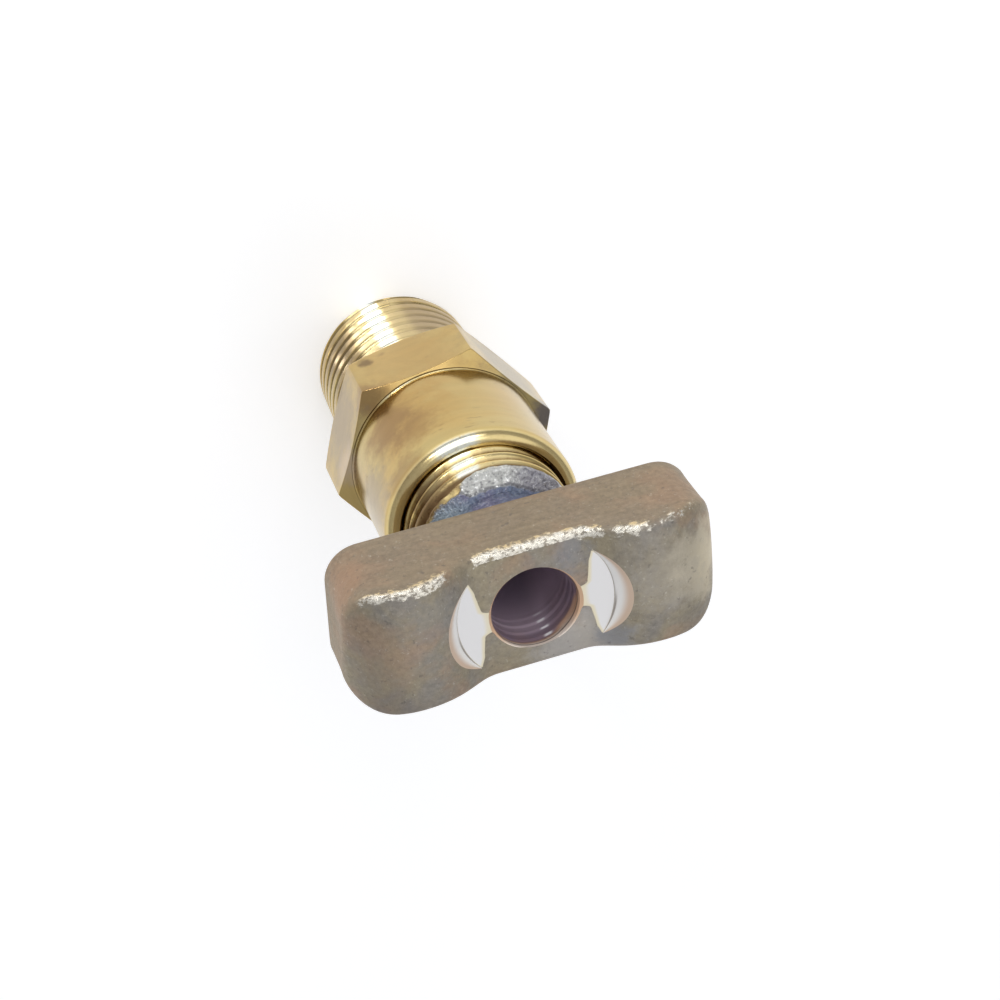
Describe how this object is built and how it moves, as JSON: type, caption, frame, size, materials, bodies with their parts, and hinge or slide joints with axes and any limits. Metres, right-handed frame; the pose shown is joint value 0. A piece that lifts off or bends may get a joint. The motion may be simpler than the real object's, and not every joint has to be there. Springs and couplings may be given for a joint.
{
  "type": "engine drain plug",
  "caption": "Brass drain plug: taper pipe thread, spanner hexagon and barrel, with a cast T-handle on a threaded stem that opens and shuts the water way.",
  "frame": {"origin": "centre of the pipe end face", "axes": "+Z along the thread axis from the pipe end to the handle, X along the handle at rest"},
  "size_m": [0.0278, 0.017, 0.0422],
  "materials": {
    "turned_brass": "turned",
    "cast_bronze": "as cast",
    "neoprene": "matt",
    "screw_brass": "turned"
  },
  "bodies": {
    "body": {"pipe_body": "turned_brass"},
    "washer": {"seat_washer": "neoprene"},
    "handle": {"t_handle": "cast_bronze", "washer_screw": "screw_brass"}
  },
  "joints": [
    {"name": "stem_travel", "type": "slide", "parent": "body", "child": "washer", "axis": [0, 0, 1], "range_m": [-0.00317, 0.00317]},
    {"name": "stem_turn", "type": "hinge", "parent": "washer", "child": "handle", "pos_m": [0, 0, 0.03], "axis": [0, 0, 1], "range_deg": [-900, 900]}
  ],
  "couplings": [
    {"joint": "stem_turn", "follows": "stem_travel", "rad_per_m": 4947.4}
  ]
}
